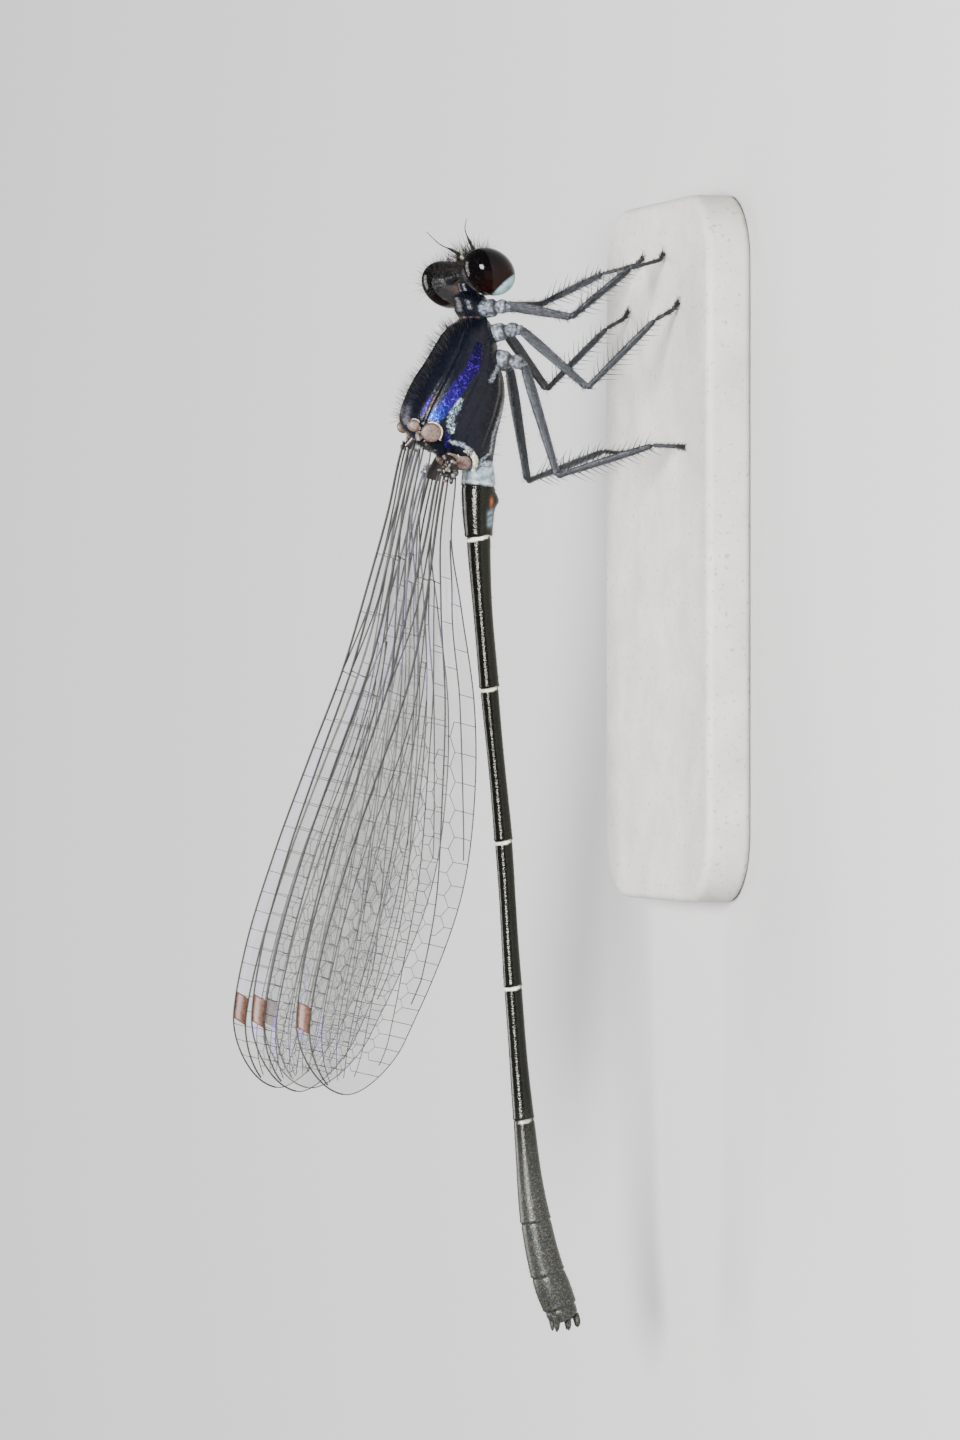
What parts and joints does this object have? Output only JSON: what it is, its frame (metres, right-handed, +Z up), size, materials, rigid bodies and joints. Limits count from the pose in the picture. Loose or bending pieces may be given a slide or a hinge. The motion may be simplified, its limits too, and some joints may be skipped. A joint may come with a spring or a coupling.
{
  "type": "damselfly model",
  "caption": "Life-size damselfly at rest, wings folded over its long abdomen, standing on a plain flat base.",
  "frame": {"origin": "centre of the flat underside of the base", "axes": "+Z up, +Y towards the insect's tail, +X towards its left side"},
  "size_m": [0.016, 0.0493, 0.0205],
  "materials": {
    "base": "matt, faintly mottled stone grey",
    "head": "black chitin with a dull grey bloom",
    "eye": "glossy black-brown, pale blue-grey below",
    "thorax": "black with a metallic blue-violet side stripe",
    "wing": "clear membrane with dark veins",
    "abdomen": "glossy black with a green-bronze tinge and pale rings",
    "leg": "slate grey with a pale bloom"
  },
  "bodies": {
    "root": {"stand_base": "base", "head": "head", "mouthparts": "head", "eye_r": "eye", "eye_l": "eye", "antenna_r": "head", "antenna_l": "head", "neck": "thorax", "prothorax": "thorax", "synthorax": "thorax", "forewing_r": "wing", "forewing_l": "wing", "hindwing_r": "wing", "hindwing_l": "wing", "abdomen_s1": "abdomen", "abdomen_s2": "abdomen", "abdomen_s3": "abdomen", "abdomen_s4": "abdomen", "abdomen_s5": "abdomen", "abdomen_s6": "abdomen", "abdomen_s7": "abdomen", "abdomen_s8": "abdomen", "abdomen_s9": "abdomen", "abdomen_s10": "abdomen", "coxa_fore_r": "leg", "femur_fore_r": "leg", "tibia_fore_r": "leg", "tarsus_fore_r": "leg", "coxa_fore_l": "leg", "femur_fore_l": "leg", "tibia_fore_l": "leg", "tarsus_fore_l": "leg", "coxa_mid_r": "leg", "femur_mid_r": "leg", "tibia_mid_r": "leg", "tarsus_mid_r": "leg", "coxa_mid_l": "leg", "femur_mid_l": "leg", "tibia_mid_l": "leg", "tarsus_mid_l": "leg", "coxa_hind_r": "leg", "femur_hind_r": "leg", "tibia_hind_r": "leg", "tarsus_hind_r": "leg", "coxa_hind_l": "leg", "femur_hind_l": "leg", "tibia_hind_l": "leg", "tarsus_hind_l": "leg"}
  },
  "joints": []
}
